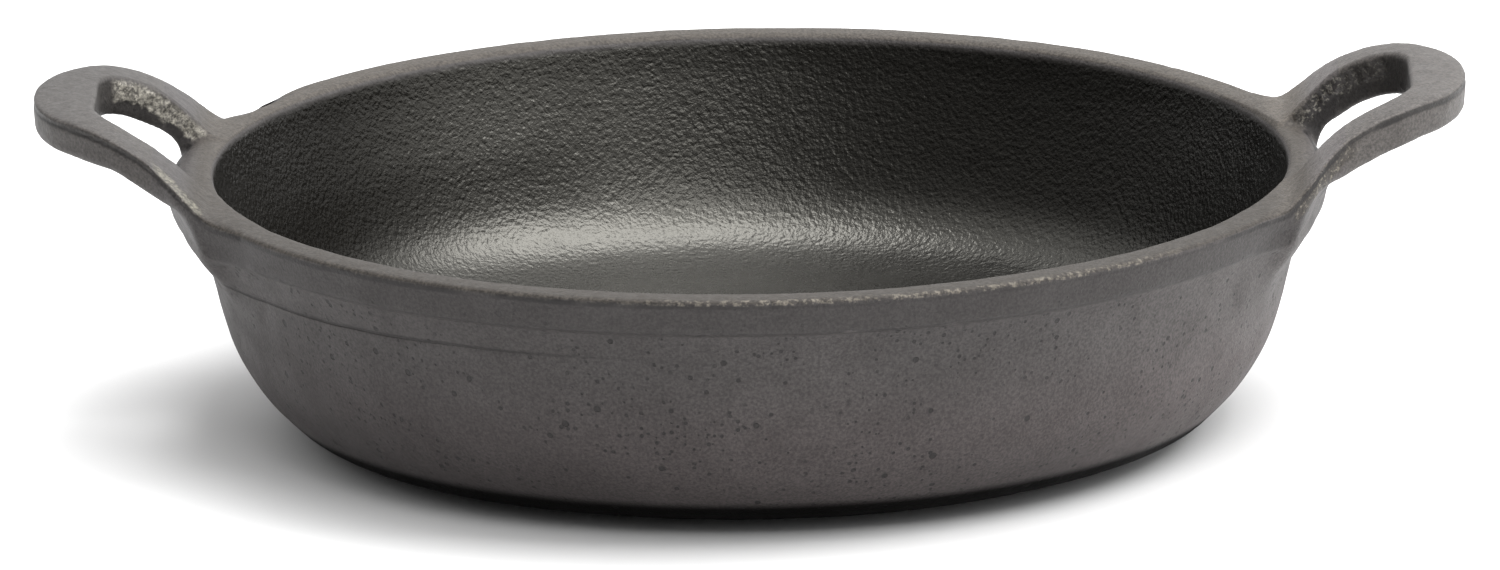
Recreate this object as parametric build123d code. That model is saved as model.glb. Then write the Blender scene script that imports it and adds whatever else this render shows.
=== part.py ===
from build123d import *
import os

# Shallow round cast iron pan with two loop handles cast on at the rim.
# Millimetres. Origin: centre of the flat base, on the resting plane.
# +Z up, +X along the line through both handles.

# ---- pan body ---------------------------------------------------------------
RIM_RADIUS = 100.0        # outer radius of the rim near its top edge
RIM_HEIGHT = 45.5         # top of the rim above the resting plane
RIM_OUTER_ROUND = 0.8     # rounding of the rim's outer top edge
RIM_TOP_OUTER = RIM_RADIUS - RIM_OUTER_ROUND  # the flat on top of the rim
RIM_TOP_INNER = 95.0
RIM_INNER_RADIUS = 93.2   # inner wall radius just below the rim's inner rounding
RIM_INNER_DEPTH = 2.4     # height of that inner rounding
BAND_DEPTH = 6.3          # height of the near-vertical band under the rim
BAND_FOOT_RADIUS = 98.9   # outer radius at the foot of that band
STEP_DEPTH = 7.3          # the soft step under the band ends this far below the rim
STEP_RADIUS = 97.3        # outer radius where the leaning wall starts
BASE_RADIUS = 68.0        # radius of the flat base
FLOOR_RADIUS = 56.0       # radius of the flat cooking floor
FLOOR_THICKNESS = 7.6     # iron under the cooking floor
CAVITY_OVERRUN = 20.0     # the cavity cutter rises this far above the rim

# leaning outer wall from the base up to the step: (radius, height)
OUTER_WALL = [
    (76.0, 1.15), (82.0, 4.35), (86.7, 9.0), (90.3, 15.1),
    (92.4, 21.3), (93.7, 26.4), (94.9, 31.0), (96.1, 34.8),
]
# cooking side, floor to rim: (radius, height)
INNER_WALL = [
    (64.0, 7.85), (70.0, 8.5), (75.0, 9.6), (78.5, 11.0), (81.5, 13.2), (83.8, 16.1),
    (85.6, 19.5), (87.3, 23.7), (88.9, 28.3), (90.6, 33.4), (92.3, 39.0),
]
# directions of the wall curves, as (outward, up)
OUTWARD = (1, 0)
OUTER_WALL_END = (0.34, 1)
INNER_WALL_END = (0.28, 1)
LIP_END = (1, 0.06)

# ---- loop handles -----------------------------------------------------------
# outer outline seen from above: (x, half width); the root ends inside the wall
HANDLE_OUTLINE = [
    (84.0, 42.9), (88.5, 42.2), (91.5, 41.1), (94.5, 39.5), (98.0, 36.6),
    (101.5, 33.1), (105.0, 30.4), (109.0, 28.1), (113.0, 25.2), (117.0, 21.4),
    (120.5, 16.8), (122.9, 11.0), (124.1, 5.2),
]
HANDLE_TIP_X = 124.4      # outermost point of a handle, from the pan's axis
# top face: (x, height above the rim plane)
HANDLE_TOP = [
    (80.0, -0.9), (88.0, -0.6), (91.5, -0.3), (93.2, 0.2), (95.0, 1.5),
    (97.0, 3.3), (99.7, 6.0), (103.1, 8.8), (106.6, 10.9), (110.1, 12.4),
    (113.6, 13.4), (118.0, 13.8), (127.0, 13.9),
]
# underside on the handle's middle plane: (x, height above the rim plane);
# it leaves the wall 11 mm below the rim and sweeps up
HANDLE_UNDER = [
    (93.6, -12.4), (95.8, -11.0), (98.0, -9.5), (99.6, -7.6), (100.7, -5.2),
    (101.7, -2.4), (102.9, 0.1), (104.9, 2.1), (108.2, 4.1), (111.7, 5.8),
    (115.8, 7.2), (120.0, 7.8), (128.0, 8.1),
]
UNDER_SWEEP = 65.0        # the underside turns about an axis this far past the pan's

# stock the handle is cut from, heights relative to the rim plane
BLOCK_BOTTOM = -20.0
BLOCK_HEIGHT = 45.0
TOP_CUTTER_FLOOR = -16.0
TOP_CUTTER_REACH = 60.0   # to either side of the middle plane
UNDER_CUTTER_CEILING = 30.0

# ---- grip slots -------------------------------------------------------------
# seen from above: straight outer end, then (x, half width) inwards
SLOT_END_X = 113.7
SLOT_END_HALF = 8.5
SLOT_SIDE = [(113.2, 11.6), (111.6, 15.0), (108.8, 17.6), (105.2, 19.4), (101.6, 20.3)]
SLOT_ROOT_X = 95.2        # the outline runs in over the rim to here
SLOT_ROOT_HALF = 20.6
SLOT_RIM_RADIUS = 101.0   # the slot stops here, just outside the rim
SLOT_RIM_ROUND = 5.0      # rounding from the rim's top into the slot
SLOT_BOTTOM = -22.0       # cutter heights relative to the rim plane
SLOT_HEIGHT = 60.0
SLOT_CORE_BOTTOM = -30.0

# The casting is divided across the handle arms at this distance from the
# YZ plane: the arms' stubs stay with the pan.
SPLIT_X = 103.0
SPLIT_BOX = 400.0         # side of the boxes that divide a handle


def lines(*points):
    """Straight edges joining the points in turn."""
    return [Line(start, end) for start, end in zip(points, points[1:])]


def from_rim(points):
    """Turn heights above the rim plane into heights above the resting plane."""
    return [(x, RIM_HEIGHT + z) for x, z in points]


def other_side(points):
    """Plan points mirrored to -Y, in reverse order."""
    return [(x, -y) for x, y in reversed(points)]


def face_xz(edges):
    """Face in the XZ plane from edges drawn as (x, z)."""
    return make_face([Plane.XZ * edge for edge in edges])


def turned(edges):
    """Full turn of an XZ profile about Z, with the seam away from both handles."""
    return Rot(0, 0, 90) * revolve(face_xz(edges), Axis.Z, 360)


def build_outer():
    """Solid of revolution bounded by the outside of the pan."""
    base_edge = (BASE_RADIUS, 0)
    step = (STEP_RADIUS, RIM_HEIGHT - STEP_DEPTH)
    band_foot = (BAND_FOOT_RADIUS, RIM_HEIGHT - BAND_DEPTH)
    rim_edge = (RIM_RADIUS, RIM_HEIGHT - RIM_OUTER_ROUND)
    rim_top = (RIM_TOP_OUTER, RIM_HEIGHT)
    return turned([
        Line((0, 0), base_edge),
        Spline([base_edge] + OUTER_WALL + [step], tangents=[OUTWARD, OUTER_WALL_END]),
        *lines(step, band_foot, rim_edge),
        RadiusArc(rim_edge, rim_top, -RIM_OUTER_ROUND),
        *lines(rim_top, (0, RIM_HEIGHT), (0, 0)),
    ])


def build_cavity():
    """The cooking hollow, continued a little above the rim plane."""
    floor_centre = (0, FLOOR_THICKNESS)
    floor_edge = (FLOOR_RADIUS, FLOOR_THICKNESS)
    wall_top = (RIM_INNER_RADIUS, RIM_HEIGHT - RIM_INNER_DEPTH)
    lip = (RIM_TOP_INNER, RIM_HEIGHT)
    ceiling = RIM_HEIGHT + CAVITY_OVERRUN
    return turned([
        Line(floor_centre, floor_edge),
        Spline([floor_edge] + INNER_WALL + [wall_top], tangents=[OUTWARD, INNER_WALL_END]),
        Spline([wall_top, lip], tangents=[INNER_WALL_END, LIP_END]),
        *lines(lip, (RIM_TOP_INNER, ceiling), (0, ceiling), floor_centre),
    ])


def build_handle():
    """One loop handle on the +X side, still without its slot."""
    outline = HANDLE_OUTLINE + [(HANDLE_TIP_X, 0)] + other_side(HANDLE_OUTLINE)
    plan = make_face([Spline(outline), Line(outline[-1], outline[0])])
    block = extrude(Plane.XY.offset(RIM_HEIGHT + BLOCK_BOTTOM) * plan, BLOCK_HEIGHT)

    # keep what lies under the top face, which only varies along x
    top = from_rim(HANDLE_TOP)
    floor_z = RIM_HEIGHT + TOP_CUTTER_FLOOR
    below = face_xz([
        Spline(top),
        *lines(top[-1], (top[-1][0], floor_z), (top[0][0], floor_z), top[0]),
    ])
    handle = block & extrude(below, TOP_CUTTER_REACH, both=True)

    # and over the underside, bent round an axis on the far side of the pan's
    under = [(x + UNDER_SWEEP, z) for x, z in from_rim(HANDLE_UNDER)]
    ceiling = RIM_HEIGHT + UNDER_CUTTER_CEILING
    above = turned([
        Spline(under),
        *lines(under[-1], (under[-1][0], ceiling), (0, ceiling), (0, under[0][1]), under[0]),
    ])
    return handle & (Pos(-UNDER_SWEEP, 0, 0) * above)


def build_slot():
    """Cutter for the +X handle's through slot, ending at the rim's outer wall."""
    plus_side = [(SLOT_END_X, SLOT_END_HALF)] + SLOT_SIDE + [(SLOT_ROOT_X, SLOT_ROOT_HALF)]
    minus_side = other_side(plus_side)
    plan = make_face([
        Line(minus_side[-1], plus_side[0]),
        Spline(plus_side, tangents=[(0, 1), (-1, 0.05)]),
        Line(plus_side[-1], minus_side[0]),
        Spline(minus_side, tangents=[(1, 0.05), (0, 1)]),
    ])
    prism = extrude(Plane.XY.offset(RIM_HEIGHT + SLOT_BOTTOM) * plan, SLOT_HEIGHT)

    # what the slot leaves standing: the rim's outer wall, rounded at the top
    bottom = RIM_HEIGHT + SLOT_CORE_BOTTOM
    wall_top = (SLOT_RIM_RADIUS, RIM_HEIGHT - SLOT_RIM_ROUND)
    round_top = (SLOT_RIM_RADIUS - SLOT_RIM_ROUND, RIM_HEIGHT)
    core = turned([
        *lines((0, bottom), (SLOT_RIM_RADIUS, bottom), wall_top),
        RadiusArc(wall_top, round_top, -SLOT_RIM_ROUND),
        *lines(round_top, (0, RIM_HEIGHT), (0, bottom)),
    ])
    return prism - core


def split_box(side):
    """Box on the outer (+1) or inner (-1) side of the split plane."""
    return Pos(SPLIT_X + side * SPLIT_BOX / 2, 0, 0) * Box(SPLIT_BOX, SPLIT_BOX, SPLIT_BOX)


def build_pan_body(slot, stub):
    """Pan with both slots cut, the arms' stubs added and the hollow cut last."""
    shell = build_outer() - slot - mirror(slot, Plane.YZ)
    return shell + stub + mirror(stub, Plane.YZ) - build_cavity()


slot = build_slot()
loop = build_handle() - slot
handle_right = loop & split_box(1)
stub = loop & split_box(-1)

pieces = {
    "pan_body": build_pan_body(slot, stub),
    "handle_left": mirror(handle_right, Plane.YZ),
    "handle_right": handle_right,
}

os.makedirs("parts", exist_ok=True)
for name, shape in pieces.items():
    # each file holds the largest solid only
    solid = max(shape.solids(), key=lambda candidate: candidate.volume)
    solid.label = name
    export_step(solid, f"parts/{name}.step")
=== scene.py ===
"""Cast iron pan with two loop handles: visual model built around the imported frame."""
import math

import bmesh
import bpy
import numpy as np
from mathutils import Matrix, Vector


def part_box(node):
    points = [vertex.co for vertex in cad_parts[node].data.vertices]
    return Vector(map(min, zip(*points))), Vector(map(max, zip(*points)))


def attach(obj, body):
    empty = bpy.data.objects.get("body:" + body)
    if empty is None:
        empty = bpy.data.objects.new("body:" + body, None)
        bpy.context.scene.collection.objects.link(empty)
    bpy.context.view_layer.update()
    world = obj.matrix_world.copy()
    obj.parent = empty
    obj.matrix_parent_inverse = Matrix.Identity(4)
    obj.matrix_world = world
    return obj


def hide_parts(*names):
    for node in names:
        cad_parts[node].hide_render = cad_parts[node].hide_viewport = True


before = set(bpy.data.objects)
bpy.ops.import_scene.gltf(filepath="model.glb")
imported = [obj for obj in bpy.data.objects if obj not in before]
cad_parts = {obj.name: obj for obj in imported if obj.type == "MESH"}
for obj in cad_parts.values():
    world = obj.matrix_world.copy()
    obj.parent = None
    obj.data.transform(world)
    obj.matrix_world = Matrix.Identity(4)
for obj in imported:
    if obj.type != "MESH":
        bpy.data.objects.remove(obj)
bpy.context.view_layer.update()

# ---------------------------------------------------------------- dimensions (mm, from the frame)
pan_lo, pan_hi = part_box("pan_body")
grip_lo, grip_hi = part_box("handle_right")
UNIT = pan_hi.y * 1000.0 / 100.0           # 1.0 when the rim's radius is 100 mm
BASE_Z = pan_lo.z * 1000.0
SPLIT = grip_lo.x * 1000.0                 # the casting is divided here, left and right
TIP = grip_hi.x * 1000.0 / UNIT            # outermost point of a handle
TOP = (grip_hi.z * 1000.0 - BASE_Z) / UNIT  # highest point of a handle
RIM = TOP - 13.81                          # the rim's plane


# ---------------------------------------------------------------- small numeric kit
def curve(points, per=16):
    """Catmull-Rom curve through 2D points."""
    p = np.asarray(points, float)
    p = np.vstack([2 * p[0] - p[1], p, 2 * p[-1] - p[-2]])
    out = []
    for i in range(1, len(p) - 2):
        t = np.linspace(0, 1, per, endpoint=False)[:, None]
        a, b, c, d = p[i - 1], p[i], p[i + 1], p[i + 2]
        out.append(0.5 * (2 * b + (c - a) * t + (2 * a - 5 * b + 4 * c - d) * t ** 2
                          + (3 * b - a - 3 * c + d) * t ** 3))
    out.append(p[-2][None])
    return np.vstack(out)


class Field2D:
    """Signed distance to a closed polygon, sampled on a grid (negative inside)."""

    def __init__(self, poly, x0, x1, y0, y1, step):
        poly = np.asarray(poly, float)
        self.x0, self.y0, self.step = x0, y0, step
        nx, ny = int((x1 - x0) / step) + 2, int((y1 - y0) / step) + 2
        gx, gy = x0 + step * np.arange(nx), y0 + step * np.arange(ny)
        px, py = np.meshgrid(gx, gy, indexing="ij")
        best = np.full(px.shape, 1e9)
        inside = np.zeros(px.shape, bool)
        q = np.roll(poly, -1, axis=0)
        for (ax, ay), (bx, by) in zip(poly, q):
            ex, ey = bx - ax, by - ay
            n = ex * ex + ey * ey
            if n < 1e-12:
                continue
            t = np.clip(((px - ax) * ex + (py - ay) * ey) / n, 0, 1)
            best = np.minimum(best, (px - ax - t * ex) ** 2 + (py - ay - t * ey) ** 2)
            if ay != by:
                hit = (ay > gy) != (by > gy)
                cross = ax + (gy - ay) * ex / ey
                inside ^= hit[None, :] & (gx[:, None] < cross[None, :])
        self.v = np.where(inside, -1, 1) * np.sqrt(best)
        self.n = (nx, ny)

    def __call__(self, x, y):
        u = np.clip((x - self.x0) / self.step, 0, self.n[0] - 1.001)
        w = np.clip((y - self.y0) / self.step, 0, self.n[1] - 1.001)
        i, j = u.astype(np.int32), w.astype(np.int32)
        fu, fw = u - i, w - j
        v = self.v
        return ((v[i, j] * (1 - fw) + v[i, j + 1] * fw) * (1 - fu)
                + (v[i + 1, j] * (1 - fw) + v[i + 1, j + 1] * fw) * fu)


def lattice(seed, n=64):
    g = np.random.default_rng(seed).uniform(-1, 1, (n, n, n)).astype(np.float32)
    return g


_lat = {}


def noise(p, scale, seed):
    """Smooth value noise in -1..1 over points p (N,3); scale is the feature size in mm."""
    if seed not in _lat:
        _lat[seed] = lattice(seed)
    g = _lat[seed]
    q = p / scale + 100.37 + seed * 7.13
    i = np.floor(q).astype(np.int64)
    f = (q - i).astype(np.float32)
    f = f * f * f * (f * (f * 6 - 15) + 10)
    i &= 63
    j = (i + 1) & 63
    x0, y0, z0 = i.T
    x1, y1, z1 = j.T
    fx, fy, fz = f.T
    a = g[x0, y0, z0] * (1 - fx) + g[x1, y0, z0] * fx
    b = g[x0, y1, z0] * (1 - fx) + g[x1, y1, z0] * fx
    c = g[x0, y0, z1] * (1 - fx) + g[x1, y0, z1] * fx
    d = g[x0, y1, z1] * (1 - fx) + g[x1, y1, z1] * fx
    return (a * (1 - fy) + b * fy) * (1 - fz) + (c * (1 - fy) + d * fy) * fz


def step01(x, a, b):
    t = np.clip((x - a) / (b - a), 0, 1)
    return t * t * (3 - 2 * t)


def bump01(x, centre, width):
    return np.exp(-((x - centre) / width) ** 2)


def cut_round(a, b, r):
    """Intersection of two solids with the edge between them rounded by r."""
    u, v = np.maximum(a + r, 0), np.maximum(b + r, 0)
    return np.minimum(np.maximum(a, b), -r) + np.sqrt(u * u + v * v)


def join_round(a, b, r):
    """Union of two solids with a hollow fillet r where they meet."""
    u, v = np.maximum(r - a, 0), np.maximum(r - b, 0)
    return np.maximum(np.minimum(a, b), r) - np.sqrt(u * u + v * v)


# ---------------------------------------------------------------- the pan's section
FLOOR = 7.6
OUTSIDE = curve([(58.0, 0.0), (66.0, 0.0), (70.5, 0.12), (74.0, 0.62), (77.5, 1.45), (80.2, 2.55), (82.4, 4.35), (86.7, 9.0),
                 (90.3, 15.1), (92.4, 21.3), (93.7, 26.4), (94.9, 31.0), (96.1, 34.8),
                 (97.0, 37.4)], 12)
BAND = np.array([(97.35, 38.2), (97.7, 38.75), (98.3, 39.1), (98.75, 39.5), (98.95, 40.2), (99.3, 42.2),
                 (99.75, 44.3), (99.86, 44.75), (99.78, 45.1), (99.5, 45.38), (99.0, 45.5)])
LIP = np.array([(97.0, 45.56), (95.3, 45.52), (94.7, 45.42), (94.1, 45.12), (93.7, 44.6), (93.45, 43.8)])
INSIDE = curve([(93.25, 42.9), (92.3, 39.0), (90.6, 33.4), (88.9, 28.3), (87.3, 23.7), (85.6, 19.5),
                (83.8, 16.1), (81.5, 13.2), (78.5, 11.0), (75.0, 9.6), (70.0, 8.5), (64.0, 7.85),
                (58.0, FLOOR), (40.0, FLOOR)], 12)
PROFILE = np.vstack([[(-20.0, 0.0)], OUTSIDE, BAND, LIP, INSIDE, [(-20.0, FLOOR)]])
PROFILE[:, 1] *= RIM / 45.5
body_field = Field2D(PROFILE, 40.0, 130.0, -6.0, 68.0, 0.2)

# ---------------------------------------------------------------- handles
OUTLINE = [(79.5, 57.6), (83.2, 53.6), (86.2, 49.9), (88.3, 46.9), (90.4, 43.8), (92.6, 41.2),
           (95.1, 39.0), (98.0, 36.6), (101.5, 33.1),
           (105.0, 30.4), (109.0, 28.1), (113.0, 25.2), (117.0, 21.4), (120.5, 16.8),
           (122.9, 11.0), (124.1, 5.2)]
TOP_LINE = [(80.0, -1.2), (88.0, -0.9), (91.5, -0.5), (93.2, 0.05), (95.0, 1.3),
            (97.0, 3.1), (99.7, 5.75), (103.1, 8.5), (106.6, 10.5), (110.1, 11.95),
            (113.6, 12.9), (118.0, 13.3), (128.0, 13.4)]
UNDER_LINE = [(80.0, -13.2), (93.6, -12.5), (95.8, -11.1), (98.0, -9.6), (99.6, -7.6), (100.7, -5.2),
              (101.7, -2.4), (102.9, 0.1), (104.9, 2.1), (108.2, 4.1), (111.7, 5.8),
              (115.8, 7.2), (120.0, 7.8), (132.0, 8.1)]
SLOT = [(113.6, 0.0), (113.6, 8.6), (113.1, 11.7), (111.6, 14.8), (108.8, 17.6), (105.2, 19.5),
        (101.6, 20.4), (96.0, 20.8), (86.0, 20.8)]


def mirrored(points):
    p = curve(points, 8)
    q = p[::-1].copy()
    q[:, 1] *= -1
    return np.vstack([p, q])


plan_field = Field2D(mirrored(OUTLINE + [(TIP, 0.0)]), 76.0, 130.0, 0.0, 64.0, 0.2)
slot_field = Field2D(mirrored(SLOT), 78.0, 130.0, 0.0, 52.0, 0.2)
_t = curve(TOP_LINE, 16)
_u = curve(UNDER_LINE, 16)


WARP_X = [84.0, 88.0, 92.0, 97.0, 101.0, 106.0, 112.0, 124.0]
WARP_RIGHT = [0.0, 0.2, 0.5, 0.75, 0.95, 0.75, 0.6, 0.8]
WARP_NEAR = [0.0, 0.3, 0.6, 0.1, -0.45, -0.5, -0.35, 0.0]
WARP_LEFT = [0.0, -0.35, -0.75, -0.8, -0.75, -0.6, -0.35, 0.0]


def handle_parts(x, y, z):
    """Fields of the handle on the side of x, at points in mm."""
    ax, ay = np.abs(x), np.abs(y)
    # the two handles came out of the mould a shade uneven
    far = step01(y, -8, 8)
    lift = np.where(x >= 0, np.interp(ax, WARP_X, WARP_RIGHT),
                    np.interp(ax, WARP_X, WARP_LEFT) * far + np.interp(ax, WARP_X, WARP_NEAR) * (1 - far))
    zz = z - RIM - lift
    plan = plan_field(ax, ay)
    plan = plan + 0.95 * (x >= 0) * (1 - far) * step01(ax, 96, 101) * (1 - step01(ax, 108, 114))
    # under the rim's band the arm's root draws back into the wall
    plan = plan + 5.0 * (1 - step01(ax, 88, 97)) * step01(RIM - z, 1.5, 9.0)
    plan = plan + 1.5 * (1 - far) * (1 - step01(ax, 97, 103.5)) * step01(RIM - z, 6.5, 10)
    part = np.interp(ax, _t[:, 0], _t[:, 1])
    crown = 0.75 * (1 - np.exp(-np.maximum(-plan, 0) / 3.0)) * step01(ax, 91, 99)
    top = zz - (part + crown)
    rad = np.sqrt((ax + 65.0) ** 2 + ay * ay) - 65.0
    rad = rad + np.where(x >= 0, 1.5, 1.3) * step01(ay, 12, 30) * (1 - step01(ax, 101, 108))
    under = np.interp(rad, _u[:, 0], _u[:, 1]) - np.where(x >= 0, 0.5 * step01(rad, 104, 110), 0.35 * step01(rad, 112, 118)) - zz
    under = under - 1.5 * (x >= 0) * far * bump01(ax, 102.3, 3.2)
    arm = step01(-y, 10, 24)
    under = under - arm * np.where(x >= 0, 0.9, 0.4) * bump01(ax, 102.0, 2.8)
    under = under + (1 - far) * np.where(x >= 0, 0.0, 0.6) * bump01(ax, 108.5, 3.5)
    draft = np.maximum(part - 1.5 - zz, 0) * 0.07
    slot = slot_field(ax - 1.1 * (x >= 0) * step01(ax, 104, 112), ay)
    return plan - 0.22 + draft, top * 0.93, under * 0.8, zz - part, slot


def solid(p):
    """Signed field of the smooth casting, p in mm."""
    x, y, z = p.T
    r = np.sqrt(x * x + y * y)
    d = body_field(r, z)
    near = (np.abs(x) > 78) & (np.abs(y) < 60) & (z > 24)
    if near.any():
        xs, ys, zs, rs, ds = x[near], y[near], z[near], r[near], d[near]
        plan, top, under, _, slot = handle_parts(xs, ys, zs)
        h = cut_round(cut_round(plan, under, 1.0), top, 0.6)
        low = step01(RIM - zs, 3.0, 7.5)
        h = np.maximum(h, 94.9 + 3.1 * low - rs)
        tail = step01(np.abs(ys), 42, 58)      # the root fades into the wall
        u = join_round(ds, h + 3.4 * tail, 1.5 + 4.5 * low * step01(np.abs(ys), 16, 28) * (1 - tail))
        core = cut_round(rs - np.where(xs < 0, 101.8, 100.5), zs - RIM, 4.6)
        gap = cut_round(slot, -core, 2.4)
        d = d.copy()
        d[near] = cut_round(u, -gap, 0.8)
    return d


# ---------------------------------------------------------------- cast surface
def regions(p):
    """Masks over points (mm): how far each belongs to each kind of surface."""
    x, y, z = p.T
    r = np.sqrt(x * x + y * y)
    ax, ay = np.abs(x), np.abs(y)
    plan, top, under, part, slot = handle_parts(x, y, z)
    inner_r = np.interp(z, INSIDE[::-1, 1], INSIDE[::-1, 0])
    inner_z = np.interp(r, INSIDE[::-1, 0][np.argsort(INSIDE[::-1, 0])], INSIDE[::-1, 1][np.argsort(INSIDE[::-1, 0])])
    cooking = np.maximum(step01(inner_r + 1.1 - r, 0, 1.0), step01(z - inner_z + 1.6, 0, 0.8) * (r < 88))
    cooking = cooking * (1 - step01(z, RIM - 1.9, RIM - 0.5))
    cooking = np.where(z < 3.0, 0, cooking)
    on_handle = step01(ax, 95, 99) * (plan < 1.5) * step01(z, RIM - 12, RIM - 6)
    rim_top = step01(z, RIM - 0.9, RIM - 0.25) * (1 - cooking) * (ax < 112)
    wall = (step01(ax, 93.5, 96) * (plan < 1.5) * step01(z, RIM - 12, RIM - 6)
            * step01(1.1 - np.abs(slot), 0, 0.8) * (r > 97.5) * (1 - step01(part, -0.4, 0.4)))
    side = on_handle * step01(1.0 - np.abs(plan), 0, 0.7) * (1 - step01(part, -0.5, 0.1))
    top_face = on_handle * step01(part, -0.7, 0.1)
    return dict(cooking=cooking, rim=rim_top, handle=on_handle, slot=wall, side=side, top=top_face,
                part=part, plan=plan, slot_d=slot, r=r)


def relief(p, m):
    """Height added along the surface normal, mm."""
    x, y, z = p.T
    ang = np.degrees(np.arctan2(y, x))
    out = 1 - m["cooking"]
    h = 0.10 * noise(p, 38, 1) + 0.05 * noise(p, 14, 2)
    # cooking side: swells, then the orange-peel skin of a sand mould
    h += m["cooking"] * (0.04 * noise(p, 5.5, 3) + 0.014 * noise(p, 2.3, 4))
    # outside: finer grain
    h += out * (0.022 * noise(p, 3.2, 6) + 0.018 * noise(p, 1.3, 7))
    # rim: hand-ground, slightly wavy with nicked edges
    chips = step01(noise(p * [1, 1, 0.4], 2.6, 8), 0.45, 0.95)
    edge = bump01(m["r"], 99.7, 0.7) * bump01(z, RIM - 0.5, 1.0)
    front = step01(-y, 40, 80) * step01(x + 60, 0, 60)
    h -= edge * chips * (0.22 + 0.4 * front) * (1 - m["handle"])
    h += m["rim"] * 0.05 * noise(p, 4.5, 9)
    # parting line around rim and handles
    line = bump01(m["part"], -1.0, 0.45) * m["side"]
    h -= 0.22 * line
    # broken skin left in the grip slot where the flash was knocked out
    rough = m["slot"] * step01(m["part"], -3.6, -2.6) * (1 - step01(m["part"], -0.7, 0.1))
    rough = rough * (1 - step01(np.abs(x), 110.6, 112.2))
    h += rough * (0.45 * noise(p, 2.9, 10) + 0.34 * noise(p, 1.25, 11) + 0.15)
    # ground patches on the outer edge at the near roots
    patch = root_patch(p, m)
    h += patch * (0.22 * noise(p, 1.7, 12) - 0.15)
    # the rim sags a little where the left handle's far arm leaves it
    h -= 1.15 * bump01(ang, 152.0, 5.0) * step01(m["r"], 96.5, 98.5) * step01(z, RIM - 3.0, RIM - 0.5)
    # faint mould line round the left front, running out of the handle's root
    fade = step01(-ang, 100, 112) * (1 - step01(-ang, 152, 160))
    h -= 0.16 * fade * bump01(z, RIM - 11.9, 0.45) * out * (m["r"] > 92)
    return h


def root_patch(p, m):
    """Near-side outer top edge where each arm runs into the rim, dressed with a grinder."""
    x, y, z = p.T
    ax = np.abs(x)
    here = (y < 0) * (m["plan"] < 1.5) * (z > RIM - 8)
    wob = 0.6 * noise(p, 2.2, 13)
    left = (step01(ax, 93.4, 95.2) * (1 - step01(ax, 101.6, 103.4)) * step01(m["plan"] + wob, -3.0, -2.3)
            * step01(m["part"], -0.9, -0.2))
    right = (step01(ax, 93.2, 95.0) * (1 - step01(ax, 103, 106)) * step01(m["plan"], -1.3, -0.6)
             * step01(m["part"] + wob, -4.2, -3.2) * (1 - step01(m["part"], -0.25, 0.2)))
    return here * np.where(x < 0, left, right)


def full(p):
    return solid(p) - relief(p, regions(p))


def gradient(f, p, h):
    g = np.empty_like(p)
    for k in range(3):
        a, b = p.copy(), p.copy()
        a[:, k] += h
        b[:, k] -= h
        g[:, k] = (f(a) - f(b)) / (2 * h)
    return g


# ---------------------------------------------------------------- mesh from the field
def levels(*spans):
    out = [spans[0][0]]
    for a, b, s in spans:
        n = max(1, int(round((b - a) / s)))
        out.extend(np.linspace(a, b, n + 1)[1:])
    return np.array(out)


def theta_levels(count):
    """Angles (radians), closer together over the handles."""
    t = np.linspace(0, 2 * np.pi, 20001)
    d = np.degrees(t)
    off = np.minimum(np.abs((d + 90) % 180 - 90), 180)
    dens = 1 + 0.85 * (1 - step01(off, 20, 30))
    c = np.concatenate([[0], np.cumsum((dens[1:] + dens[:-1]) / 2)])
    c /= c[-1]
    return np.interp(np.arange(count) / count, c, t)


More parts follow.
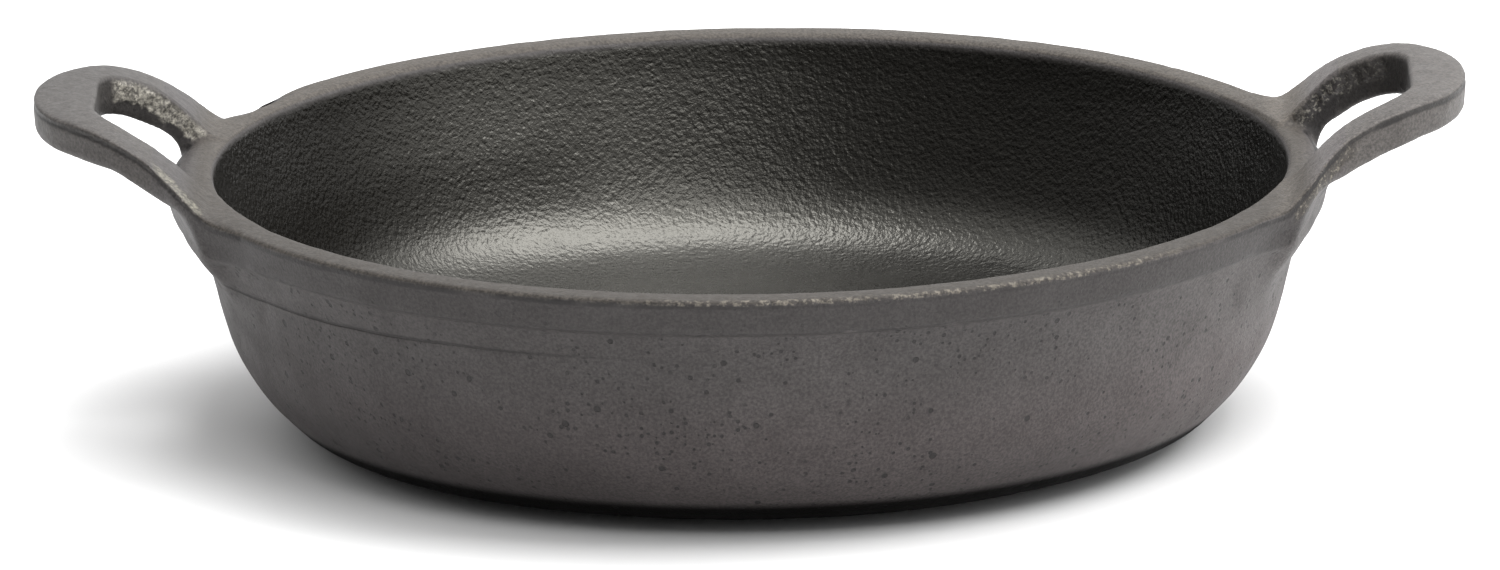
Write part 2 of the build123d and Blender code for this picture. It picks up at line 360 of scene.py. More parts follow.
def build_mesh():
    nt = 768
    R = levels((57.6, 84.0, 1.05), (84.0, 92.4, 0.75), (92.4, 101.6, 0.40), (101.6, 126.4, 0.62))
    Z = levels((-1.35, 33.0, 0.87), (33.0, 37.6, 0.5), (37.6, 43.2, 0.42), (43.2, 46.2, 0.27), (46.2, 61.5, 0.52))
    T = theta_levels(nt)
    nr, nz = len(R), len(Z)
    val = np.empty((nr, nt, nz), np.float32)
    rr, zz = np.meshgrid(R, Z, indexing="ij")
    base = body_field(rr.ravel(), zz.ravel()).reshape(nr, nz)
    val[:] = base[:, None, :]
    # only near the handles does the field depend on the angle
    deg = np.degrees(T)
    off = np.abs((deg + 90) % 180 - 90)
    jj = np.nonzero(off < 38)[0]
    ii = np.nonzero(R > 78)[0]
    kk = np.nonzero(Z > 24)[0]
    for j in jj:
        a, c = np.meshgrid(R[ii], Z[kk], indexing="ij")
        p = np.stack([a * np.cos(T[j]), a * np.sin(T[j]), c], -1).reshape(-1, 3)
        val[np.ix_(ii, [j], kk)] = solid(p).reshape(len(ii), 1, len(kk))
    val[np.abs(val) < 1e-4] = 1e-4

    neg = val < 0
    nj = np.roll(neg, -1, axis=1)
    corners = [neg[:-1, :, :-1], neg[1:, :, :-1], nj[:-1, :, :-1], nj[1:, :, :-1],
               neg[:-1, :, 1:], neg[1:, :, 1:], nj[:-1, :, 1:], nj[1:, :, 1:]]
    cnt = sum(c.astype(np.uint8) for c in corners)
    act = (cnt > 0) & (cnt < 8)
    ci, cj, ck = np.nonzero(act)
    index = np.full(act.shape, -1, np.int64)
    index[ci, cj, ck] = np.arange(len(ci))
    T2 = np.append(T, 2 * np.pi)
    off8 = [(0, 0, 0), (1, 0, 0), (0, 1, 0), (1, 1, 0), (0, 0, 1), (1, 0, 1), (0, 1, 1), (1, 1, 1)]
    v8 = np.stack([val[ci + a, (cj + b) % nt, ck + c] for a, b, c in off8], 1).astype(float)
    c8 = np.stack([np.stack([R[ci + a], T2[cj + b], Z[ck + c]], 1) for a, b, c in off8], 1)
    edges = [(0, 1), (2, 3), (4, 5), (6, 7), (0, 2), (1, 3), (4, 6), (5, 7), (0, 4), (1, 5), (2, 6), (3, 7)]
    acc = np.zeros((len(ci), 3))
    num = np.zeros(len(ci))
    for a, b in edges:
        s = (v8[:, a] < 0) != (v8[:, b] < 0)
        t = np.where(s, v8[:, a] / np.where(s, v8[:, a] - v8[:, b], 1), 0)[:, None]
        acc += np.where(s[:, None], c8[:, a] + (c8[:, b] - c8[:, a]) * t, 0)
        num += s
    q = acc / num[:, None]
    verts = np.stack([q[:, 0] * np.cos(q[:, 1]), q[:, 0] * np.sin(q[:, 1]), q[:, 2]], 1)

    quads = []

    def emit(cells, flip):
        a, b, c, d = (index[x] for x in cells)
        f = np.stack([a, b, c, d], 1)
        f[flip] = f[flip][:, ::-1]
        quads.append(f[(f >= 0).all(1)])

    # edges along r
    s = neg[:-1, :, 1:-1] != neg[1:, :, 1:-1]
    i, j, k = np.nonzero(s)
    k = k + 1
    jm = (j - 1) % nt
    emit([(i, jm, k - 1), (i, j, k - 1), (i, j, k), (i, jm, k)], ~neg[i, j, k])
    # edges along theta
    s = neg[1:-1, :, 1:-1] != nj[1:-1, :, 1:-1]
    i, j, k = np.nonzero(s)
    i, k = i + 1, k + 1
    emit([(i - 1, j, k - 1), (i - 1, j, k), (i, j, k), (i, j, k - 1)], ~neg[i, j, k])
    # edges along z
    s = neg[1:-1, :, :-1] != neg[1:-1, :, 1:]
    i, j, k = np.nonzero(s)
    i = i + 1
    jm = (j - 1) % nt
    emit([(i - 1, jm, k), (i, jm, k), (i, j, k), (i - 1, j, k)], ~neg[i, j, k])
    quads = np.vstack(quads)

    # close the middle of floor and base with rings that thin out towards the axis
    tc = np.arctan2(verts[:, 1], verts[:, 0])
    first = ci == 0
    tris, extra, start = [], [], len(verts)
    more_quads = []
    for upper in (True, False):
        sel = np.nonzero(first & ((ck > np.searchsorted(Z, FLOOR / 2)) == upper))[0]
        ring = np.empty(nt, np.int64)
        ring[cj[sel]] = sel
        z_here = FLOOR if upper else 0.0
        ang = q[ring, 1]
        n, rad = nt, q[ring, 0].mean()
        while n > 12:
            target = 1.55 if rad > 12 else max(rad * 0.22, 0.4)
            step_r = min(target, rad * 0.28)
            halve = (2 * np.pi * rad / n) < 0.62
            rad2 = rad - step_r
            if halve:
                ang2 = ang[::2]
                m = n // 2
            else:
                ang2, m = ang, n
            new = start + sum(len(e) for e in extra) + np.arange(m)
            extra.append(np.stack([rad2 * np.cos(ang2), rad2 * np.sin(ang2), np.full(m, z_here)], 1))
            if halve:
                a0 = ring[::2]
                a1 = ring[1::2]
                a2 = np.roll(ring, -2)[::2]
                b0, b1 = new, np.roll(new, -1)
                for t3 in ((a0, a1, b0), (a1, b1, b0), (a1, a2, b1)):
                    f = np.stack(t3, 1)
                    tris.append(f if upper else f[:, ::-1])
            else:
                f = np.stack([ring, np.roll(ring, -1), np.roll(new, -1), new], 1)
                more_quads.append(f if upper else f[:, ::-1])
            ring, ang, n, rad = new, ang2, m, rad2
        centre = start + sum(len(e) for e in extra)
        extra.append(np.array([[0.0, 0.0, z_here]]))
        f = np.stack([ring, np.roll(ring, -1), np.full(n, centre)], 1)
        tris.append(f if upper else f[:, ::-1])
    verts = np.vstack([verts] + extra)
    quads = np.vstack([quads] + more_quads)
    tris = np.vstack(tris)

    # onto the smooth casting, then onto its cast skin
    surf = np.arange(len(verts)) < start
    p = verts[surf]
    for _ in range(3):
        g = gradient(solid, p, 0.12)
        n2 = np.maximum((g * g).sum(1), 0.2)[:, None]
        stepv = -solid(p)[:, None] * g / n2
        ln = np.linalg.norm(stepv, axis=1, keepdims=True)
        p = p + stepv * np.minimum(1, 0.35 / np.maximum(ln, 1e-9))
    verts[surf] = p
    nrm = normals_of(verts)
    m = regions(verts)
    verts = verts + nrm * relief(verts, m)[:, None]
    return verts, quads, tris


def flat_solid(p):
    """Field used for normals: the middle discs lie outside the sampled section."""
    d = solid(p)
    r = np.sqrt(p[:, 0] ** 2 + p[:, 1] ** 2)
    mid = r < 57.8
    z = p[:, 2]
    d = np.where(mid, np.maximum(-z, z - FLOOR), d)
    return d


def normals_of(p, with_relief=False):
    if with_relief:
        m = None

        def f(q):
            return flat_solid(q) - relief(q, regions(q))
        g = gradient(f, p, 0.3)
    else:
        g = gradient(flat_solid, p, 0.1)
    return g / np.maximum(np.linalg.norm(g, axis=1, keepdims=True), 1e-9)


# ---------------------------------------------------------------- pieces
verts, quads, tris = build_mesh()
SCALE = UNIT / 1000.0


def to_world(v):
    w = v * SCALE
    w[:, 2] += BASE_Z / 1000.0
    return w


def make_piece(name, keep_from, keep_to, verts, quads, tris):
    """The part of the casting with x between the two limits (mm), closed with flat faces there."""
    me = bpy.data.meshes.new(name)
    faces = quads.tolist() + tris.tolist()
    me.from_pydata(verts.tolist(), [], faces)
    bm = bmesh.new()
    bm.from_mesh(me)
    for limit, sign in ((keep_from, -1), (keep_to, 1)):
        if limit is None:
            continue
        geom = bm.verts[:] + bm.edges[:] + bm.faces[:]
        res = bmesh.ops.bisect_plane(bm, geom=geom, dist=1e-5, plane_co=(limit, 0, 0),
                                     plane_no=(sign, 0, 0), clear_outer=True)
        cut = [e for e in res["geom_cut"] if isinstance(e, bmesh.types.BMEdge)]
        open_edges = [e for e in cut if len(e.link_faces) == 1]
        fill = bmesh.ops.triangle_fill(bm, use_beauty=True, edges=open_edges, normal=(sign, 0, 0))
        for f in fill["geom"]:
            if isinstance(f, bmesh.types.BMFace):
                f.material_index = 1
    bmesh.ops.recalc_face_normals(bm, faces=bm.faces[:])
    bm.to_mesh(me)
    bm.free()
    n = len(me.vertices)
    co = np.empty(n * 3)
    me.vertices.foreach_get("co", co)
    p = co.reshape(-1, 3)
    m = regions(p)
    nrm = normals_of(p, with_relief=True)
    nf = len(me.polygons)
    cap = np.zeros(nf, np.int32)
    me.polygons.foreach_get("material_index", cap)
    me.polygons.foreach_set("material_index", np.zeros(nf, np.int32))
    me.polygons.foreach_set("use_smooth", (cap == 0))
    starts = np.zeros(nf, np.int32)
    totals = np.zeros(nf, np.int32)
    me.polygons.foreach_get("loop_start", starts)
    me.polygons.foreach_get("loop_total", totals)
    loop_v = np.zeros(len(me.loops), np.int32)
    me.loops.foreach_get("vertex_index", loop_v)
    ln = nrm[loop_v]
    fn = np.zeros(nf * 3, np.float32)
    me.polygons.foreach_get("normal", fn)
    fn = fn.reshape(-1, 3)
    loop_face = np.repeat(np.arange(nf), totals)
    on_cap = cap[loop_face] == 1
    ln[on_cap] = fn[loop_face[on_cap]]
    # a normal that strays too far from its face is pulled back
    dot = (ln * fn[loop_face]).sum(1)
    bad = dot < 0.35
    ln[bad] = fn[loop_face[bad]]
    me.vertices.foreach_set("co", to_world(p.copy()).ravel())
    ax = np.abs(p[:, 0])
    drop = RIM - p[:, 2]
    drop = drop + (-m["part"] - drop) * step01(ax, 91, 95) * (np.abs(m["plan"]) < 6)
    for key, arr in (("cooking", m["cooking"]), ("grip", m["handle"]), ("top", m["top"]),
                     ("slotwall", m["slot"]), ("patch", root_patch(p, m)), ("part", m["part"]),
                     ("plan", np.clip(m["plan"], -9, 9)), ("drop", np.clip(drop, -4, 60)), ("rad", m["r"])):
        at = me.attributes.new(key, "FLOAT", "POINT")
        at.data.foreach_set("value", arr.astype(np.float32))
    me.update()
    me.validate()
    me.normals_split_custom_set([tuple(v) for v in ln])
    ob = bpy.data.objects.new(name, me)
    bpy.context.scene.collection.objects.link(ob)
    return ob


pan = make_piece("pan_casting", -SPLIT / UNIT, SPLIT / UNIT, verts, quads, tris)
grip_r = make_piece("grip_right", SPLIT / UNIT, None, verts, quads, tris)
grip_l = make_piece("grip_left", None, -SPLIT / UNIT, verts, quads, tris)
for ob, node, slot in ((pan, "pan_body", "pan_iron"), (grip_l, "handle_left", "handle_iron"),
                       (grip_r, "handle_right", "handle_iron")):
    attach(ob, "root")
    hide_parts(node)


# ---------------------------------------------------------------- materials
def node(tree, kind, inputs=None, **props):
    n = tree.nodes.new(kind)
    for k, v in props.items():
        setattr(n, k, v)
    for k, v in (inputs or {}).items():
        if isinstance(v, bpy.types.NodeSocket):
            tree.links.new(v, n.inputs[k])
        else:
            n.inputs[k].default_value = v
    return n


class Shader:
    """Small helper for building node materials with distances in millimetres."""

    def __init__(self, name):
        self.mat = bpy.data.materials.new(name)
        self.mat.use_nodes = True
        self.t = self.mat.node_tree
        self.t.nodes.clear()
        co = node(self.t, "ShaderNodeTexCoord").outputs["Object"]
        self.mm = node(self.t, "ShaderNodeVectorMath", {0: co, 1: (1000.0, 1000.0, 1000.0)},
                       operation="MULTIPLY").outputs[0]

    def attr(self, key):
        return node(self.t, "ShaderNodeAttribute", attribute_name=key).outputs["Fac"]

    def shift(self, offset, squash=(1, 1, 1)):
        v = node(self.t, "ShaderNodeVectorMath", {0: self.mm, 1: squash}, operation="MULTIPLY").outputs[0]
        return node(self.t, "ShaderNodeVectorMath", {0: v, 1: offset}, operation="ADD").outputs[0]

    def noise(self, size, detail=2.0, rough=0.5, offset=(0, 0, 0), squash=(1, 1, 1), warp=0.0):
        return node(self.t, "ShaderNodeTexNoise",
                    {"Vector": self.shift(offset, squash), "Scale": 1.0 / size, "Detail": detail,
                     "Roughness": rough, "Distortion": warp}, normalize=True).outputs["Fac"]

    def cells(self, size, offset=(0, 0, 0), smooth=0.6):
        return node(self.t, "ShaderNodeTexVoronoi",
                    {"Vector": self.shift(offset), "Scale": 1.0 / size, "Smoothness": smooth},
                    feature="SMOOTH_F1").outputs["Distance"]

    def dots(self, size, most, offset=(0, 0, 0), few=0.55):
        """Round spots of random size, one at most per cell; 1 inside a spot."""
        n = node(self.t, "ShaderNodeTexVoronoi", {"Vector": self.shift(offset), "Scale": 1.0 / size}, feature="F1")
        pick = node(self.t, "ShaderNodeSeparateColor", {0: n.outputs["Color"]}).outputs[0]
        radius = self.math("MULTIPLY", self.ramp(pick, few, 1.0, 0.0, 1.0, smooth=False), most)
        return self.ramp(self.math("SUBTRACT", n.outputs["Distance"], radius), 0.03, -0.04)

    def math(self, op, a, b=0.0, c=0.0, clamp=False):
        return node(self.t, "ShaderNodeMath", {0: a, 1: b, 2: c}, operation=op, use_clamp=clamp).outputs[0]

    def ramp(self, x, lo, hi, out_lo=0.0, out_hi=1.0, smooth=True):
        return node(self.t, "ShaderNodeMapRange",
                    {"Value": x, "From Min": lo, "From Max": hi, "To Min": out_lo, "To Max": out_hi},
                    interpolation_type="SMOOTHSTEP" if smooth else "LINEAR").outputs["Result"]

    def mix(self, fac, a, b):
        n = node(self.t, "ShaderNodeMix", data_type="RGBA")
        for k, v in ((0, fac), (6, a), (7, b)):
            if isinstance(v, bpy.types.NodeSocket):
                self.t.links.new(v, n.inputs[k])
            else:
                n.inputs[k].default_value = v if k == 0 else (*v, 1.0)
        return n.outputs[2]

    def mixf(self, fac, a, b):
        n = node(self.t, "ShaderNodeMix", data_type="FLOAT")
        for k, v in ((0, fac), (2, a), (3, b)):
            if isinstance(v, bpy.types.NodeSocket):
                self.t.links.new(v, n.inputs[k])
            else:
                n.inputs[k].default_value = v
        return n.outputs[0]

    def gain(self, colour, factor):
        n = node(self.t, "ShaderNodeVectorMath", {0: colour, 3: factor}, operation="SCALE")
        return n.outputs[0]

    def bump(self, height, distance_mm, strength=1.0, normal=None):
        ins = {"Height": height, "Distance": distance_mm / 1000.0, "Strength": strength}
        if normal is not None:
            ins["Normal"] = normal
        return node(self.t, "ShaderNodeBump", ins).outputs["Normal"]

    def finish(self, **inputs):
        b = node(self.t, "ShaderNodeBsdfPrincipled", inputs)
        o = node(self.t, "ShaderNodeOutputMaterial")
        self.t.links.new(b.outputs[0], o.inputs["Surface"])
        return self.mat


def iron(name, outer, inner, rim_col, level=1.0):
    s = Shader(name)
    cook = s.attr("cooking")
    grip = s.attr("grip")
    part = s.attr("part")
    drop = s.attr("drop")
    rad = s.attr("rad")
    wall = s.attr("slotwall")
    patch = s.attr("patch")
    not_cook = s.math("SUBTRACT", 1.0, cook)
    rim = s.math("MULTIPLY", s.ramp(drop, 0.75, 0.35), s.math("MULTIPLY", not_cook, s.math("SUBTRACT", 1.0, grip)))
    ragged = s.noise(3.2, 3.0, 0.65, (41, 9, 13))
    low = s.math("ADD", part, s.ramp(ragged, 0.2, 0.8, -1.4, 1.4, smooth=False))
    wallr = s.math("MULTIPLY", wall, s.ramp(low, -4.3, -3.5))
    slot_lower_shade = s.math("MULTIPLY", wall, s.ramp(low, -3.5, -4.3))
    outer_side = s.math("MULTIPLY", not_cook, s.math("SUBTRACT", 1.0, wall))
    outer_side = s.math("MULTIPLY", outer_side, s.ramp(rad, 98.2, 98.8))
    wob = s.ramp(s.noise(7.0, 2.0, 0.5, (4, 77, 3)), 0.2, 0.8, -0.22, 0.22, smooth=False)
    d2 = s.math("ADD", drop, wob)
    seam = s.math("MULTIPLY", s.ramp(d2, 0.50, 0.80), s.ramp(d2, 1.75, 1.25))
    seam = s.math("MULTIPLY", s.math("MULTIPLY", seam, outer_side),
                  s.ramp(s.noise(11.0, 2.0, 0.6, (8, 2, 31)), 0.30, 0.52, 0.25, 1.0))
    band = s.math("MULTIPLY", s.math("MULTIPLY", s.ramp(drop, 0.9, 1.4), s.ramp(drop, 6.9, 6.4)), not_cook)
    band = s.math("MULTIPLY", band, s.math("SUBTRACT", 1.0, grip))

    cloud = s.noise(34.0, 3.0, 0.55, (11, 3, 5))
    blotch = s.noise(9.0, 3.0, 0.6, (3, 31, 9))
    grain = s.noise(0.55, 3.0, 0.6, (7, 7, 71))
    fine = s.noise(0.33, 1.0, 0.55, (1, 55, 23))
    speck = s.noise(1.9, 1.0, 0.5, (91, 5, 17))
    xyz = node(s.t, "ShaderNodeSeparateXYZ", {0: s.mm}).outputs
    x_mm, y_mm = xyz[0], xyz[1]
    front = s.ramp(y_mm, 5.0, -25.0)
    # mould line round the left front, 10 mm under the rim
    off = s.math("ABSOLUTE", s.math("SUBTRACT", s.math("ADD", drop, s.math("MULTIPLY", wob, 0.4)), s.ramp(x_mm, -85.0, -40.0, 12.3, 11.5)))
    groove = s.math("MULTIPLY", s.ramp(off, 0.40, 0.08), s.math("MULTIPLY", s.ramp(x_mm, -5.0, -50.0), s.ramp(x_mm, -94.0, -89.0)))
    groove = s.math("MULTIPLY", s.math("MULTIPLY", groove, not_cook), s.math("MULTIPLY", front, s.math("SUBTRACT", 1.0, grip)))
    # mask for the painted contact shade on the outside near the floor
    base = s.math("MULTIPLY", s.ramp(drop, 39.0, 41.2), not_cook)
    crowd = s.ramp(s.noise(13.0, 3.0, 0.6, (77, 12, 40)), 0.42, 0.56, 0.08, 1.0)
    bare = s.math("MULTIPLY", not_cook, s.math("SUBTRACT", 1.0, s.math("MAXIMUM", rim, grip)))
    pits = s.math("MAXIMUM", s.dots(2.7, 0.25, (31, 3, 11), 0.62),
                  s.math("MULTIPLY", s.dots(1.25, 0.34, (3, 88, 7), 0.22), crowd))
    pits = s.math("MULTIPLY", pits, s.math("MULTIPLY", bare, s.ramp(drop, 3.0, 9.0, 0.35, 1.0)))
    rimchip = s.math("MULTIPLY", s.ramp(s.noise(1.3, 3.0, 0.7, (64, 21, 8)), 0.47, 0.60),
                     s.ramp(s.math("ABSOLUTE", s.math("SUBTRACT", drop, 0.45)), 0.60, 0.25))
    rimchip = s.math("MULTIPLY", s.math("MULTIPLY", rimchip, s.ramp(rad, 98.8, 99.2)),
                     s.math("MULTIPLY", front, s.math("MULTIPLY", s.ramp(x_mm, -30.0, 0.0, 0.15, 1.0), s.ramp(x_mm, 82.0, 60.0))))

    # colour: dull warm grey outside, oil-black inside, greyer on worn edges
    col = s.mix(s.ramp(cloud, 0.3, 0.7), tuple(c * 0.88 for c in outer), tuple(c * 1.12 for c in outer))
    col = s.mix(s.ramp(blotch, 0.35, 0.72, 0.0, 0.35), col, tuple(c * 0.80 for c in outer))
    # painted light and shade: the outside colour is raised strongly towards the lit right side (+x), lowered low down
    # on the left, and lifted slightly again at the far left end
    col = s.gain(col, s.math("ADD", s.math("ADD", s.ramp(x_mm, -60.0, 70.0, 0.88, 1.02), s.ramp(x_mm, 40.0, 98.0, 0.0, 0.50)),
                                s.math("SUBTRACT", s.ramp(x_mm, -60.0, -86.0, 0.0, 0.16),
                                       s.math("MULTIPLY", s.ramp(x_mm, -35.0, -75.0, 0.0, 0.26), s.ramp(drop, 8.0, 26.0)))))
    col = s.mix(s.ramp(drop, 12.0, 30.0, 0.0, 0.8), col, node(s.t, "ShaderNodeVectorMath", {0: col, 1: (1.04, 0.93, 0.94)},
                                                               operation="MULTIPLY").outputs[0])
    col = s.mix(s.math("MULTIPLY", band, 0.9), col, tuple(c * 0.62 for c in outer))
    ink = s.mix(s.ramp(x_mm, -70.0, 60.0), tuple(c * k for c, k in zip(inner, (1.0, 0.97, 0.9))), inner)
    # painted highlight: the top face of the right handle's root is painted lighter where it runs down to the rim
    painted_root_light = s.math("MULTIPLY", s.ramp(part, -0.6, 0.0), s.math("MULTIPLY", s.ramp(x_mm, 88.0, 95.0), s.ramp(x_mm, 105.0, 99.0)))
    col = s.gain(col, s.math("SUBTRACT", 1.0, s.math("ADD", s.ramp(x_mm, 100.0, 112.0, 0.0, 0.10), s.ramp(x_mm, -100.0, -112.0, 0.0, 0.10))))
    col = s.mix(cook, col, ink)
    # painted reflection: the rim top's colour is raised towards the back (+y) and lowered at the front, standing in for
    # the bright background it reflects at the back
    col = s.mix(rim, col, s.gain(s.mix(0.0, rim_col, rim_col), s.ramp(y_mm, -60.0, 60.0, 0.82, 1.32)))
    # applies the painted highlight on the right handle's root
    col = s.gain(col, s.math("ADD", 1.0, s.math("MULTIPLY", painted_root_light, 0.8)))
    lightgrey = tuple(min(c * 2.1, 0.5) for c in outer)
    dark = tuple(c * 0.25 for c in outer)
    onleft = s.ramp(x_mm, 10.0, -10.0)
    broken = s.noise(0.75, 3.0, 0.7, (2, 5, 61))
    inwards = s.ramp(s.math("ABSOLUTE", x_mm), 112.0, 110.4)
    cover = s.mixf(onleft, s.math("MULTIPLY", s.ramp(broken, 0.50, 0.64, 0.0, 1.0), s.ramp(x_mm, 109.0, 98.0, 0.25, 1.0)),
                   s.ramp(broken, 0.38, 0.58, 0.22, 1.0))
    # painted shade: the whole wall of each grip slot is darkened as a recess, more on the right handle than the left
    col = s.mix(s.math("MULTIPLY", wall, s.mixf(onleft, 0.8, 0.45)), col, dark)
    # the broken casting skin in the slot gets a lighter scale colour; it is painted much lighter on the left handle
    # than on the right, as painted light
    col = s.mix(s.math("MULTIPLY", s.math("MULTIPLY", wallr, cover), inwards), col,
                s.mix(onleft, (0.15, 0.14, 0.12), (0.26, 0.245, 0.21)))
    # painted shade: the lower part of the slot wall is darkened further
    col = s.mix(s.math("MULTIPLY", slot_lower_shade, 0.6), col, dark)
    col = s.mix(s.math("MULTIPLY", patch, s.mixf(onleft, 0.8, 0.0)), col, (0.026, 0.022, 0.017))
    col = s.mix(s.math("MULTIPLY", patch, s.mixf(onleft, s.ramp(broken, 0.53, 0.64), s.ramp(broken, 0.38, 0.6, 0.2, 1.0))),
                col, s.mix(onleft, (0.13, 0.118, 0.095), (0.125, 0.118, 0.095)))
    # painted shadow: a dark line just under the rim's outer edge, along the parting line, stands in for the shadow of
    # its small overhang; strongest at the front left and by the right handle
    seam_shadow_weight = s.math("MAXIMUM", s.ramp(x_mm, 20.0, -30.0, 0.4, 0.95), s.ramp(x_mm, 72.0, 84.0, 0.0, 0.95))
    col = s.mix(s.math("MULTIPLY", seam, seam_shadow_weight), col, tuple(c * 0.5 for c in dark))
    # painted shadow: a dark line along the top edge of each handle's side face, under the parting flash's overhang
    crest = s.math("MULTIPLY", s.ramp(s.math("ABSOLUTE", s.math("ADD", part, 0.75)), 0.60, 0.22),
                   s.math("MULTIPLY", s.ramp(s.attr("plan"), -1.3, -0.6), s.ramp(s.math("ABSOLUTE", x_mm), 91.5, 94.5)))
    crest = s.math("MULTIPLY", crest, s.ramp(ragged, 0.30, 0.5, 0.35, 0.9))
    col = s.mix(s.math("MULTIPLY", crest, not_cook), col, dark)
    # the mould line's groove is also painted darker, as painted shade in the crease
    col = s.mix(s.math("MULTIPLY", groove, 0.75), col, dark)
    col = s.mix(s.math("MULTIPLY", rimchip, 0.9), col, (0.125, 0.112, 0.092))
    # painted shade: the outside next to the floor is painted almost black as contact shadow
    col = s.mix(base, col, tuple(c * 0.2 for c in dark))
    edge = node(s.t, "ShaderNodeNewGeometry").outputs["Pointiness"]
    worn = s.math("MULTIPLY", s.ramp(edge, 0.515, 0.60), s.ramp(blotch, 0.3, 0.6, 0.35, 1.0))
    col = s.mix(s.math("MULTIPLY", worn, 0.45), col, lightgrey)
    col = s.mix(s.math("MULTIPLY", pits, 0.88), col, tuple(c * 0.6 for c in dark))
    vary = s.math("ADD", s.ramp(grain, 0.3, 0.7, 0.62, 1.38), s.ramp(fine, 0.25, 0.75, -0.2, 0.2))
    col = s.gain(col, s.math("MULTIPLY", vary, level))

    # roughness: satin where seasoned, dry outside
    ro = s.mixf(cook, s.ramp(blotch, 0.2, 0.8, 0.56, 0.70), s.ramp(blotch, 0.2, 0.8, 0.24, 0.32))
    ro = s.mixf(rim, ro, s.ramp(speck, 0.2, 0.8, 0.56, 0.68))
    ro = s.mixf(grip, ro, s.ramp(speck, 0.2, 0.8, 0.50, 0.62))
    ro = s.mixf(s.math("MULTIPLY", patch, 0.8), ro, 0.6)
    ro = s.math("ADD", ro, s.ramp(fine, 0.2, 0.8, -0.05, 0.05))

    spec = s.mixf(rim, 0.45, 0.26)
    spec = s.mixf(cook, spec, s.ramp(x_mm, -80.0, -42.0, 0.16, 0.80))
    high = s.ramp(drop, 31.0, 25.0)
    dull = s.math("MULTIPLY", high, s.math("ADD", s.ramp(x_mm, -32.0, 30.0, 0.08, 0.54),
                                         s.math("MULTIPLY", s.ramp(x_mm, -20.0, -42.0, 0.0, 0.42), s.ramp(drop, 12.0, 22.0))))
    spec = s.math("MULTIPLY", spec, s.math("SUBTRACT", 1.0, s.math("MULTIPLY", dull, cook)))
    # specular is nearly cut in the same painted contact shade
    spec = s.mixf(base, spec, 0.04)
    glint = s.mix(cook, (1.0, 0.965, 0.96), (1.0, 0.975, 0.885))

    # relief too fine for the mesh
    peel = s.noise(0.95, 2.0, 0.62, (5, 15, 25))
    drops = s.cells(0.85, (15, 25, 5), 0.3)
    h_in = s.math("SUBTRACT", s.math("MULTIPLY", peel, 0.68), s.math("MULTIPLY", drops, 0.18))
    h_in = s.math("MULTIPLY", h_in, s.ramp(rad, 62.0, 72.0, 0.4, 1.0))
    h_out = s.math("ADD", s.math("MULTIPLY", grain, 0.30), s.math("MULTIPLY", fine, 0.12))
    h = s.mixf(cook, h_out, h_in)
    h = s.math("SUBTRACT", h, s.math("MULTIPLY", pits, 0.45))
    h = s.math("SUBTRACT", h, s.math("MULTIPLY", groove, 0.5))
    nrm = s.bump(h, 0.34)
    return s.finish(**{"Base Color": col, "Roughness": ro, "Metallic": 0.0, "IOR": 1.5,
                       "Specular IOR Level": spec, "Specular Tint": glint, "Normal": nrm})


body_mat = iron("cast_iron_body", (0.0372, 0.0335, 0.0326), (0.0056, 0.0052, 0.0047), (0.044, 0.0388, 0.0335))
grip_mat = iron("cast_iron_grip", (0.0425, 0.0385, 0.0356), (0.0056, 0.0052, 0.0047), (0.044, 0.0388, 0.0335))
pan.data.materials.append(body_mat)
for ob in (grip_l, grip_r):
    ob.data.materials.append(grip_mat)

# ---------------------------------------------------------------- floor, light, camera
bpy.ops.mesh.primitive_plane_add(size=60.0, location=(0, 0, BASE_Z / 1000.0 - 0.0009))
floor = bpy.context.object
floor.name = "studio_floor"
f = Shader("studio_paper")
f_mat = f.finish(**{"Base Color": f.mix(f.ramp(f.noise(60.0, 2.0), 0.3, 0.7), (0.785, 0.785, 0.785), (0.80, 0.80, 0.80)),
                    "Roughness": 0.9, "Specular IOR Level": 0.1,
                    "Normal": f.bump(f.noise(1.2, 2.0), 0.02)})
floor.data.materials.append(f_mat)

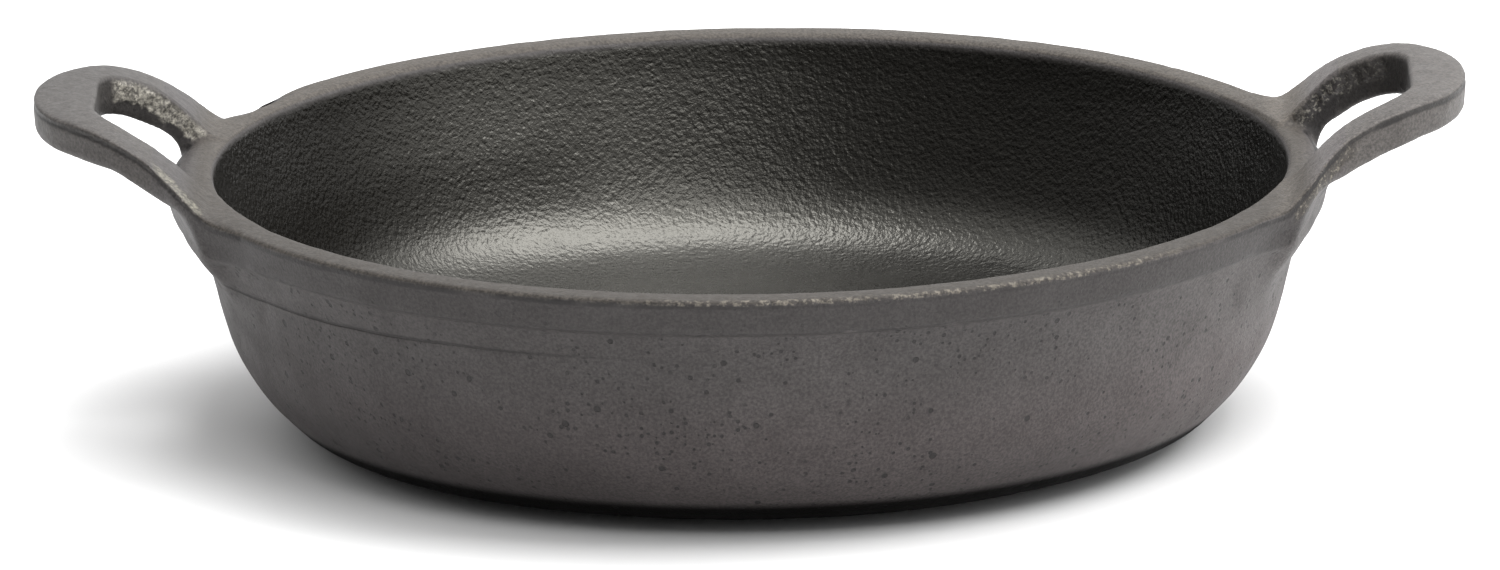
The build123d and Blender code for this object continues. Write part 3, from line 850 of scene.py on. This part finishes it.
scene = bpy.context.scene
scene.view_settings.view_transform = "Standard"
scene.view_settings.look = "None"
scene.view_settings.exposure = 0.0
scene.view_settings.gamma = 1.0
world = bpy.data.worlds.new("studio_air")
scene.world = world
world.use_nodes = True
wt = world.node_tree
wt.nodes.clear()
sky = node(wt, "ShaderNodeTexCoord").outputs["Generated"]
aimed = node(wt, "ShaderNodeVectorMath", {0: sky, 1: (0.58, 0.46, 0.67)}, operation="DOT_PRODUCT").outputs["Value"]
glow = node(wt, "ShaderNodeMapRange", {"Value": aimed, "From Min": -0.55, "From Max": 0.80,
                                       "To Min": 0.12, "To Max": 1.62}).outputs["Result"]
bg = node(wt, "ShaderNodeBackground", {"Color": (1.0, 1.0, 1.0, 1.0), "Strength": glow})
wo = node(wt, "ShaderNodeOutputWorld")
wt.links.new(bg.outputs[0], wo.inputs["Surface"])


def area(name, where, toward, size, watts, colour=(1, 1, 1)):
    data = bpy.data.lights.new(name, "AREA")
    data.shape = "RECTANGLE"
    data.size, data.size_y = size
    data.energy = watts
    data.color = colour
    ob = bpy.data.objects.new(name, data)
    ob.location = where
    ob.rotation_euler = (Vector(toward) - Vector(where)).to_track_quat("-Z", "Y").to_euler()
    ob.visible_camera = False
    scene.collection.objects.link(ob)
    return ob


area("key_softbox", (0.57, -0.06, 1.50), (0, 0, 0.03), (1.2, 2.0), 44.0)
area("front_card", (0.30, -1.15, 1.25), (0, 0, 0.03), (0.9, 0.5), 5.0)

# the view: three metres back, a little above the rim, looking just under its centre
heart = Vector((0.0, 0.0, (BASE_Z + RIM * UNIT) / 1000.0))
away = Vector((0.0, math.cos(0.2411), -math.sin(0.2411)))
cam_data = bpy.data.cameras.new("view")
cam_data.sensor_width = 36.0
cam_data.lens = 17227.9 / 1500.0 * 36.0
cam_data.clip_start, cam_data.clip_end = 0.05, 200.0
cam = bpy.data.objects.new("view", cam_data)
scene.collection.objects.link(cam)
yaw = Matrix.Rotation(math.radians(0.6), 3, "Z")
turn = (yaw @ away.to_track_quat("-Z", "Y").to_matrix() @ Matrix.Rotation(-math.atan(125.2 / 17227.9), 3, "X")
        @ Matrix.Rotation(math.atan(2.2 / 17227.9), 3, "Y") @ Matrix.Rotation(-0.015, 3, "Z"))
cam.matrix_world = Matrix.Translation(heart + yaw @ (away * -3.0)) @ turn.to_4x4()
scene.camera = cam

bpy.context.view_layer.update()
